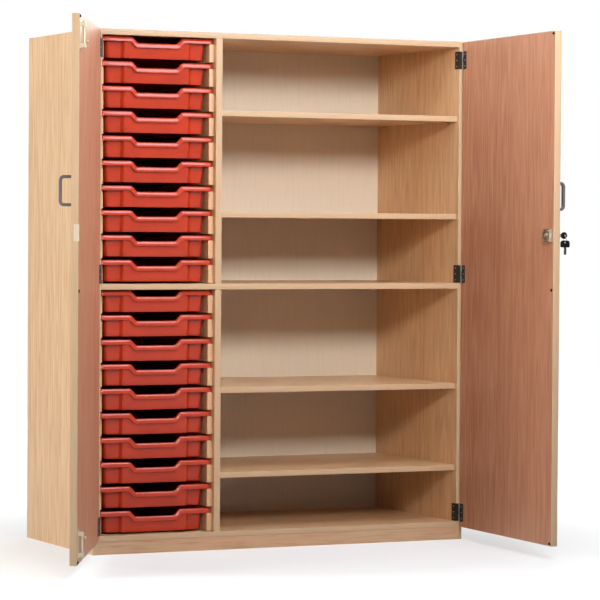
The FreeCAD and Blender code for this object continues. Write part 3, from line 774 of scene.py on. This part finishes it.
def screw_tree():
    """Countersunk screw head with a cross recess."""
    name = "countersunk_screws"
    if name in bpy.data.node_groups:
        return bpy.data.node_groups[name]
    tree, given = new_tree(name, ("Head radius", "Head height", "Recess length", "Recess width"))
    crown = add(tree, "Math", {0: given["Head radius"], 1: 0.86}, operation="MULTIPLY")
    head = add(tree, "GeometryNodeMeshCone", {
        "Vertices": 20, "Radius Top": crown, "Radius Bottom": given["Head radius"],
        "Depth": given["Head height"],
    })
    high = add(tree, "Math", {0: given["Head height"], 1: 1.3}, operation="MULTIPLY")
    bars = add(tree, "GeometryNodeJoinGeometry")
    for along, across in (("Recess length", "Recess width"), ("Recess width", "Recess length")):
        size = add(tree, "CombineXYZ", {"X": given[along], "Y": given[across], "Z": given["Head height"]})
        bar = add(tree, "GeometryNodeMeshCube", {"Size": size})
        lift = add(tree, "CombineXYZ", {"Z": high})
        moved = add(tree, "GeometryNodeTransform", {"Geometry": bar, "Translation": lift})
        tree.links.new(moved.outputs[0], bars.inputs[0])
    cut = add(tree, "GeometryNodeMeshBoolean", {"Mesh 1": head, "Mesh 2": bars}, operation="DIFFERENCE")
    # Bright zinc plate, half dulled: the heads show as pale dots on the black leaves.
    look = {"roughness": 0.4, "grit": 1.2, "metallic": 0.25}
    plate = shared("bright_zinc_screws", metal, settings()[1].screw, **look)
    finish_tree(tree, given, cut, plate)
    return tree


def screws(name, body, seats, radius):
    """Screws of one body, sunk so that they stand a little proud of their seats."""
    lengths = {
        "Head radius": radius * MM, "Head height": 2 * SCREW_PROUD * MM,
        "Recess length": radius * 1.15 * MM, "Recess width": radius * 0.3 * MM,
    }
    places = [(Vector(place) - Vector(way) * SCREW_PROUD, way, UNSTRETCHED) for place, way in seats]
    fitted(grow(name, screw_tree(), lengths, places), body)


def leaf_rows():
    """Heights of the three screws of each hinge leaf."""
    return [bottom + HINGE_HEIGHT / 2 + step for bottom in HINGE_BOTTOMS for step in SCREW_STEPS]


class CUPBOARD_OT_hinges(bpy.types.Operator):
    """Black hinge leaves, their pins and their screws"""

    bl_idname = "cupboard.hinges"
    bl_label = "Hinges"

    def execute(self, context):
        sizes, finishes, _ = settings()
        # The hinges carry a painted highlight of pale zinc on the front of their knuckles.
        steel = shared("black_painted_steel", hinge_steel, finishes.black_steel, finishes.zinc)
        dress(steel, "carcass_hinge_leaves", "left_hinge_leaves", "right_hinge_leaves", "hinge_pins")
        radius = sizes.screw_head / MM
        seats = []
        for side in HANDS:
            seats += [((side * CARCASS_SCREW_X, CARCASS_SCREW_Y, z), (-side, 0, 0)) for z in leaf_rows()]
        screws("carcass_hinge_screws", "carcass", seats, radius)
        for side, hand in HANDS.items():
            seats = on_door(side, [(LEAF_SCREW_X, LEAF_THICK, z) for z in leaf_rows()])
            screws(hand + "_door_hinge_screws", hand + "_door", seats, radius)
        return {"FINISHED"}


class CUPBOARD_OT_runners(bpy.types.Operator):
    """Beech battens that carry the trays"""

    bl_idname = "cupboard.runners"
    bl_label = "Tray runners"

    def execute(self, context):
        _, finishes, _ = settings()
        tones = finishes.batten, finishes.board_dark, finishes.pores
        beech = shared("planed_beech", beech_foil, Y, *tones, contrast=0.6, smooth=0.42)
        tree, given = new_tree("tray_battens", ("Width",))
        size = add(tree, "CombineXYZ", {i: given["Width"] for i in range(3)})
        batten = add(tree, "GeometryNodeMeshCube", {"Size": size})
        finish_tree(tree, given, batten, beech)
        low, high = drawn("tray_runners")
        half = BATTEN_WIDTH / 2
        seats = []
        for node in TRAYS:
            top = drawn(node)[1].z - TRAY_TO_BATTEN
            deep = UPPER_BATTEN if node in UPPER_TRAYS else LOWER_BATTEN
            for x, y in ((high.x - half, low.y), (low.x + half, low.y + LEFT_SETBACK)):
                centre = (x, (y + high.y) / 2, top - deep / 2)
                seats.append((centre, (0, 0, 1), (1.0, (high.y - y) / BATTEN_WIDTH, deep / BATTEN_WIDTH)))
        battens = grow("tray_battens", tree, {"Width": BATTEN_WIDTH * MM}, seats)
        eased = battens.modifiers.new("eased_edges", "BEVEL")
        eased.width, eased.segments, eased.limit_method = BATTEN_EASE * MM, 2, "ANGLE"
        fitted(battens, "carcass", ["tray_runners"])
        return {"FINISHED"}


class CUPBOARD_OT_pins(bpy.types.Operator):
    """Shelf pins and the doors' round buffers"""

    bl_idname = "cupboard.pins"
    bl_label = "Shelf pins and buffers"

    def execute(self, context):
        _, finishes, _ = settings()
        tree, given = new_tree("shelf_pins", ("Radius", "Length"))
        rod = add(tree, "GeometryNodeMeshCylinder", {
            "Vertices": 16, "Radius": given["Radius"], "Depth": given["Length"],
        })
        finish_tree(tree, given, rod, zinc_finish())
        low, high = drawn("shelf_pins")
        seats = []
        radius, half = SHELF_PIN_RADIUS, SHELF_PIN_LENGTH / 2
        for node in SHELVES:
            z = drawn(node)[0].z - radius
            for y in (low.y + radius, high.y - radius):
                seats.append(((low.x + half, y, z), (1, 0, 0), UNSTRETCHED))
                seats.append(((high.x - half, y, z), (-1, 0, 0), UNSTRETCHED))
        pins = grow("shelf_support_pins", tree, {"Radius": radius * MM, "Length": SHELF_PIN_LENGTH * MM}, seats)
        fitted(pins, "carcass", ["shelf_pins"])

        rubber = shared("nitrile_rubber", moulded_plastic, finishes.rubber, mottle=0.75, roughness=0.7)
        tree, given = new_tree("door_buffers", ("Radius", "Height"))
        top = add(tree, "Math", {0: given["Radius"], 1: 0.72}, operation="MULTIPLY")
        pad = add(tree, "GeometryNodeMeshCone", {
            "Vertices": 20, "Side Segments": 2, "Radius Top": top, "Radius Bottom": given["Radius"],
            "Depth": given["Height"],
        })
        finish_tree(tree, given, pad, rubber)
        lengths = {"Radius": BUFFER_RADIUS * MM, "Height": BUFFER_HEIGHT * MM}
        spots = [(FREE_EDGE + BUFFER_INSET, 0, z) for z in BUFFER_ROWS]
        for side, hand in HANDS.items():
            seats = [(place, way, UNSTRETCHED) for place, way in on_door(side, spots)]
            pads = grow(hand + "_buffers_pads", tree, lengths, seats)
            fitted(pads, hand + "_door", [hand + "_buffers"])
        return {"FINISHED"}


# Handles, bolts, lock and keys

HANDLE_INSET, HANDLE_STANDOFF, HANDLE_SPAN = 42.0, 34.0, 74.0
HANDLE_WIDTH, HANDLE_THICK, HANDLE_BEND, HANDLE_FOOT = 10.0, 7.5, 9.25, 10.0
BOLT_LENGTH, BOLT_KNOB_PLACE = 63.0, 49.8
BOLT_ROD = ((2.7, 0), (3.4, 0.8), (3.4, 61.6), (2.4, BOLT_LENGTH))
BOLT_KNOB = ((1.6, 2.0), (1.6, 5.2), (2.8, 6.4), (3.2, 8.2), (2.9, 10.0), (1.6, 11.0))
BOLT_PLATE, BOLT_SCREW_ACROSS, BOLT_SCREW_STEPS = 1.5, 8.8, (20, 48)
STRIKE_SCREW_INSET, STRIKE_SCREW_STEP, STRIKE_THICK = 6.6, 13, 1.2
FITTING_SCREW, LOCK_SCREW = 2.4, 2.0
BEZEL = ((8.5, 0), (8.5, 1.4), (7.8, 2.0), (5.9, 2.0), (5.5, 1.4), (2.8, 1.4), (2.4, 2.2), (0.6, 2.4))
BEZEL_SEAT, CASE_FACE, CASE_X, CASE_SCREW_X, CASE_SCREW_Z = 10.0, 10.5, 24.0, 12.5, 12.0
ROSE_PROUD, KEY_NECK, KEY_HOLE_PLACE, KEY_HOLE, KEY_THICK = 7.0, 7.0, 12.0, 1.9, 3.4
KEY_EASE, KEY_REACH, BLADE_HALF, BLADE_THICK = 0.7, 9.0, 3.5, 2.2
TOOTH_PITCH, TOOTH_RUN = 4.0, 18.0
SPARE_KEY_Z, RING_Z, RING_RADIUS, WIRE_RADIUS = 789.5, 810.5, 7.0, 0.7
# Heads of the keys: round for the one in the lock, flat-footed for the spare.
ROUND_HEAD = arc((0.0, 8.75), 8.75, 0, 360, 40)[:-1]
FLAT_HEAD = arc((6.5, 11.0), 6.5, 0, 90, 9) + arc((-6.5, 11.0), 6.5, 90, 180, 9)
FLAT_HEAD += arc((-10.0, 3.0), 3.0, 180, 270, 9) + arc((10.0, 3.0), 3.0, 270, 360, 9)


def sweep(bm, path, section, side):
    """Bar along a flat path, its section given across the path's plane and in it."""
    side = Vector(side).normalized()
    rings = []
    for i, point in enumerate(path):
        ahead = path[min(i + 1, len(path) - 1)] - path[max(i - 1, 0)]
        normal = side.cross(ahead.normalized())
        rings.append([point + side * a + normal * b for a, b in section])
    skin(bm, rings)


def handle_path():
    """Middle line of the bow handle on the closed right-hand door, from its lower foot."""
    bend, half = HANDLE_BEND, HANDLE_THICK / 2
    low, high = HANDLE_Z - HANDLE_SPAN / 2 + half, HANDLE_Z + HANDLE_SPAN / 2 - half
    far, foot = DOOR_OUTER - HANDLE_STANDOFF + half, DOOR_OUTER - HANDLE_FOOT
    flat = [(DOOR_OUTER, low), (foot, low)]
    flat += arc((far + bend, low + bend), bend, 270, 180, 8)
    flat += arc((far + bend, high - bend), bend, 180, 90, 8)
    flat += [(foot, high), (DOOR_OUTER, high)]
    return [Vector((FREE_EDGE + HANDLE_INSET, y, z)) for y, z in flat]


class CUPBOARD_OT_handles(bpy.types.Operator):
    """Bow handles of bent bar"""

    bl_idname = "cupboard.handles"
    bl_label = "Handles"

    def execute(self, context):
        sizes, finishes, _ = settings()
        paint = shared("grey_painted_bar", metal, finishes.handle, roughness=0.38, grit=1.4, metallic=0.35)
        section = round_rectangle(HANDLE_WIDTH, HANDLE_THICK, sizes.handle_round / MM)
        for side, hand in HANDS.items():
            bm = bmesh.new()
            sweep(bm, handle_path(), section, (1, 0, 0))
            bm.transform(swing(side))
            piece(hand + "_handle_bow", bm, hand + "_door", [paint], [hand + "_handle"])
        return {"FINISHED"}


class CUPBOARD_OT_bolts(bpy.types.Operator):
    """Surface bolts and strike plate of the left door"""

    bl_idname = "cupboard.bolts"
    bl_label = "Bolts"

    def execute(self, context):
        steel = zinc_finish()
        dress(steel, "bolt_plates", "strike_plate")
        spots = []
        for toward, end in BOLT_ENDS.items():
            bolt = "top_bolt" if toward > 0 else "bottom_bolt"
            bm = bmesh.new()
            turned(bm, (BOLT_X, BOLT_Y, end - toward * BOLT_LENGTH), (0, 0, toward), BOLT_ROD)
            turned(bm, (BOLT_X, BOLT_Y, end - toward * BOLT_KNOB_PLACE), (0, 1, 0), BOLT_KNOB)
            bm.transform(swing(-1))
            piece(bolt + "_rod_turned", bm, bolt, [steel], [bolt + "_rod"])
            for across in (-BOLT_SCREW_ACROSS, BOLT_SCREW_ACROSS):
                spots += [(BOLT_X + across, BOLT_PLATE, end - toward * step) for step in BOLT_SCREW_STEPS]
        for step in (-STRIKE_SCREW_STEP, STRIKE_SCREW_STEP):
            spots.append((FREE_EDGE + STRIKE_SCREW_INSET, STRIKE_THICK, LOCK_Z + step))
        screws("left_door_fitting_screws", "left_door", on_door(-1, spots), FITTING_SCREW)
        return {"FINISHED"}


def key_bow(bm, outline):
    """Flat head of a key with eased edges and a hole for the ring, about the head's own plane."""
    centre = Vector((0.0, KEY_HOLE_PLACE))
    half = KEY_THICK / 2
    rings = []
    for inset, w in ((KEY_EASE, -half), (0.0, KEY_EASE - half), (0.0, half - KEY_EASE), (KEY_EASE, half)):
        share = inset / KEY_REACH
        rings.append([Vector((u + (centre.x - u) * share, v + (centre.y - v) * share, w)) for u, v in outline])
    for w in (half, -half):
        ways = [(Vector(point) - centre).normalized() * KEY_HOLE for point in outline]
        rings.append([Vector((centre.x + way.x, centre.y + way.y, w)) for way in ways])
    skin(bm, rings, wrap=True)


def key_blade(bm, long):
    """Cut blade of a key, pointing down from its head."""
    half, tip = BLADE_HALF, -KEY_NECK - long
    outline = [(half, 2.0), (half, tip + TOOTH_RUN)]
    for step in range(4):
        base = tip + TOOTH_RUN - TOOTH_PITCH * step
        cut = 1.2 + 0.7 * (step % 2)
        outline += [(half - cut, base - TOOTH_PITCH / 2), (half, base - TOOTH_PITCH)]
    outline += [(half - 2.0, tip), (1.0 - half, tip), (-half, tip + 1.0), (-half, 2.0)]
    skin(bm, [[Vector((u, v, w)) for u, v in outline] for w in (-BLADE_THICK / 2, BLADE_THICK / 2)])


class CUPBOARD_OT_lock(bpy.types.Operator):
    """Lock with its bezel, the key in it and the spare on its ring"""

    bl_idname = "cupboard.lock"
    bl_label = "Lock and keys"

    def execute(self, context):
        _, finishes, _ = settings()
        nickel = shared("nickel_plated_zinc", metal, finishes.nickel, roughness=0.3, grit=1.0)
        black = shared("black_key_plastic", moulded_plastic, finishes.key_bow, mottle=0.7, roughness=0.35)
        dark = shared("oiled_key_steel", metal, finishes.key_steel, roughness=0.4, grit=0.8)
        dress(nickel, "lock_case", "lock_plug")
        dress(zinc_finish(), "lock_bolt")
        carry = swing(1)

        bm = bmesh.new()
        turned(bm, (LOCK_X, DOOR_INNER + BEZEL_SEAT, LOCK_Z), (0, 1, 0), BEZEL, 36)
        bm.transform(carry)
        piece("lock_case_bezel", bm, "right_door", [nickel])
        corners = [(a, b) for a in (-CASE_SCREW_X, CASE_SCREW_X) for b in (-CASE_SCREW_Z, CASE_SCREW_Z)]
        spots = [(CASE_X + a, CASE_FACE, LOCK_Z + b) for a, b in corners]
        screws("lock_case_screws", "right_door", on_door(1, spots), LOCK_SCREW)

        nose = DOOR_OUTER - ROSE_PROUD - KEY_NECK
        hung = nose - KEY_HOLE_PLACE
        in_lock = Matrix(((0, 0, 1, LOCK_X), (0, -1, 0, nose), (1, 0, 0, LOCK_Z), (0, 0, 0, 1)))
        hanging = Matrix(((0, 0, 1, LOCK_X), (1, 0, 0, hung), (0, 1, 0, SPARE_KEY_Z), (0, 0, 0, 1)))
        for node, body, place, head, blade in (
            ("key", "key_and_plug", in_lock, ROUND_HEAD, 16.0),
            ("spare_key", "hanging_key", hanging, FLAT_HEAD, 11.5),
        ):
            bm = bmesh.new()
            key_bow(bm, head)
            head_faces = len(bm.faces)
            key_blade(bm, blade)
            second_finish(bm, head_faces)
            bm.transform(carry @ place)
            piece(node + "_cut", bm, body, [black, dark], [node])

        bm = bmesh.new()
        centre = Vector((LOCK_X, hung, RING_Z))
        wire = arc((RING_RADIUS, 0.0), WIRE_RADIUS, 0, 360, 10)[:-1]
        spokes = [Vector((x, 0, z)) for x, z in arc((0.0, 0.0), 1.0, 0, 360, 40)[:-1]]
        skin(bm, [[centre + spoke * r + Vector((0, y, 0)) for r, y in wire] for spoke in spokes], wrap=True)
        bm.transform(carry)
        piece("key_ring_wire", bm, "hanging_key", [nickel], ["key_ring"])
        return {"FINISHED"}


# Studio

# Name, place, target, size, tint and spread of each lamp.
LAMPS = (
    ("key", (-0.95, -4.2, 2.1), (0.1, 0.0, 0.98), (1.5, 0.6), (1.0, 0.93, 0.83), 50),
    ("top", (0.3, -1.3, 2.1), (-0.2, 0.0, 1.15), (0.7, 1.1), (0.94, 1.0, 1.08), 180),
    ("side", (-4.2, -0.4, 1.9), (-0.5, 0.0, 0.8), (2.0, 2.0), (1.0, 0.97, 0.92), 180),
    ("back", (2.4, 3.9, 2.2), (0.2, 0.4, 0.6), (2.5, 2.5), (1.0, 0.98, 0.95), 180),
)
CAMERA_PLACE, CAMERA_LENS, SENSOR_WIDTH, CLIP_END = (-3.3101, -6.9727, 0.8308), 177.33, 36.0, 100.0
# Yaw to the right, pitch down from the level, and roll.
CAMERA_TURNS = ((-25.72, "Z"), (90 - 1.37, "X"), (0.38, "Z"))


def area_light(name, place, target, size, watts, tint, spread):
    """Soft lamp of a width and height, turned to a target, with a spread in degrees."""
    lamp = bpy.data.lights.new(name, "AREA")
    lamp.shape, lamp.size, lamp.size_y = "RECTANGLE", *size
    lamp.energy, lamp.color, lamp.spread = watts, tint, math.radians(spread)
    obj = bpy.data.objects.new(name, lamp)
    obj.location = place
    obj.rotation_euler = (Vector(target) - Vector(place)).to_track_quat("-Z", "Y").to_euler()
    bpy.context.scene.collection.objects.link(obj)


def seen_flag(tree):
    """1 on rays that show the backdrop: straight from the camera, mirrored or through glass."""
    path = add(tree, "LightPath")
    seen = path.outputs["Is Camera Ray"]
    for ray in ("Is Glossy Ray", "Is Transmission Ray"):
        seen = add(tree, "Math", {0: seen, 1: path.outputs[ray]}, operation="MAXIMUM")
    return seen


class CUPBOARD_OT_studio(bpy.types.Operator):
    """Pale floor, soft light and the camera"""

    bl_idname = "cupboard.studio"
    bl_label = "Studio"

    def execute(self, context):
        _, finishes, studio = settings()
        scene = context.scene
        scene.view_settings.view_transform = "Standard"

        bm = bmesh.new()
        bmesh.ops.create_grid(bm, x_segments=4, y_segments=4, size=studio.floor_size / 2)
        mesh = bpy.data.meshes.new("studio_floor")
        bm.to_mesh(mesh)
        bm.free()
        floor = bpy.data.objects.new("studio_floor", mesh)
        scene.collection.objects.link(floor)
        # Matt paper sweep: it takes the shadow, and it goes to white away from the object.
        paper, tree = blank("matt_paper_floor")
        place = add(tree, "TexCoord").outputs["Object"]
        away = add(tree, "VectorMath", {0: place}, operation="LENGTH")
        glow = add(tree, "MapRange", {
            "Value": away.outputs["Value"], "From Min": 0.6, "From Max": 1.7, "To Min": 0.48, "To Max": 1.0,
        })
        lift = add(tree, "Math", {0: glow, 1: seen_flag(tree)}, operation="MULTIPLY")
        fibre = add(tree, "TexNoise", {"Vector": place, "Scale": 1 / 0.004, "Detail": 2.0})
        darker = [c * 0.97 for c in finishes.floor]
        tint = add(tree, "Mix", {0: fibre, 6: rgba(finishes.floor), 7: rgba(darker)}, data_type="RGBA")
        matt = add(tree, "BsdfDiffuse", {"Color": tint.outputs[2]})
        white = add(tree, "Emission", {"Color": (1, 1, 1, 1), "Strength": lift})
        both = add(tree, "AddShader", {0: matt, 1: white})
        add(tree, "OutputMaterial", {0: both})
        mesh.materials.append(paper)

        world = bpy.data.worlds.new("studio_world")
        world.use_nodes = True
        tree = world.node_tree
        tree.nodes.clear()
        around = add(tree, "Background", {"Color": (1, 0.985, 0.96, 1), "Strength": studio.ambience})
        shown = add(tree, "Background", {"Color": (1, 1, 1, 1), "Strength": 1.0})
        mixed = add(tree, "MixShader", {0: seen_flag(tree), 1: around, 2: shown})
        add(tree, "OutputWorld", {0: mixed})
        scene.world = world

        for name, place, target, size, tint, spread in LAMPS:
            area_light(name + "_light", place, target, size, getattr(studio, name + "_power"), tint, spread)

        lens = bpy.data.cameras.new("view")
        lens.lens, lens.sensor_width, lens.clip_end = CAMERA_LENS, SENSOR_WIDTH, CLIP_END
        camera = bpy.data.objects.new("view", lens)
        place = Matrix.Translation(CAMERA_PLACE)
        for angle, axis in CAMERA_TURNS:
            place = place @ Matrix.Rotation(math.radians(angle), 4, axis)
        camera.matrix_world = place
        scene.collection.objects.link(camera)
        scene.camera = camera
        return {"FINISHED"}


class CUPBOARD_PT_panel(bpy.types.Panel):
    """Sizes, colours and steps of the cupboard"""

    bl_idname = "CUPBOARD_PT_panel"
    bl_label = "Tray storage cupboard"
    bl_space_type = "VIEW_3D"
    bl_region_type = "UI"
    bl_category = "Cupboard"

    def draw(self, context):
        for group in settings():
            column = self.layout.column(align=True)
            for key in group.__annotations__:
                column.prop(group, key)
        for step in STEPS:
            self.layout.operator(step.bl_idname)


STEPS = (
    CUPBOARD_OT_studio,
    CUPBOARD_OT_carcass,
    CUPBOARD_OT_doors,
    CUPBOARD_OT_trays,
    CUPBOARD_OT_runners,
    CUPBOARD_OT_pins,
    CUPBOARD_OT_hinges,
    CUPBOARD_OT_handles,
    CUPBOARD_OT_bolts,
    CUPBOARD_OT_lock,
)
GROUPS = {
    "cupboard_sizes": CupboardSizes,
    "cupboard_finishes": CupboardFinishes,
    "cupboard_studio": CupboardStudio,
}


def register():
    for made in (*GROUPS.values(), *STEPS, CUPBOARD_PT_panel):
        bpy.utils.register_class(made)
    for key, group in GROUPS.items():
        setattr(bpy.types.Scene, key, PointerProperty(type=group))


def unregister():
    for key in GROUPS:
        delattr(bpy.types.Scene, key)
    for made in (CUPBOARD_PT_panel, *reversed(STEPS), *GROUPS.values()):
        bpy.utils.unregister_class(made)


def main():
    register()
    bpy.ops.cupboard.studio()
    bpy.ops.cupboard.carcass()
    bpy.ops.cupboard.doors()
    bpy.ops.cupboard.trays()
    bpy.ops.cupboard.runners()
    bpy.ops.cupboard.pins()
    bpy.ops.cupboard.hinges()
    bpy.ops.cupboard.handles()
    bpy.ops.cupboard.bolts()
    bpy.ops.cupboard.lock()


if __name__ == "__main__":
    main()
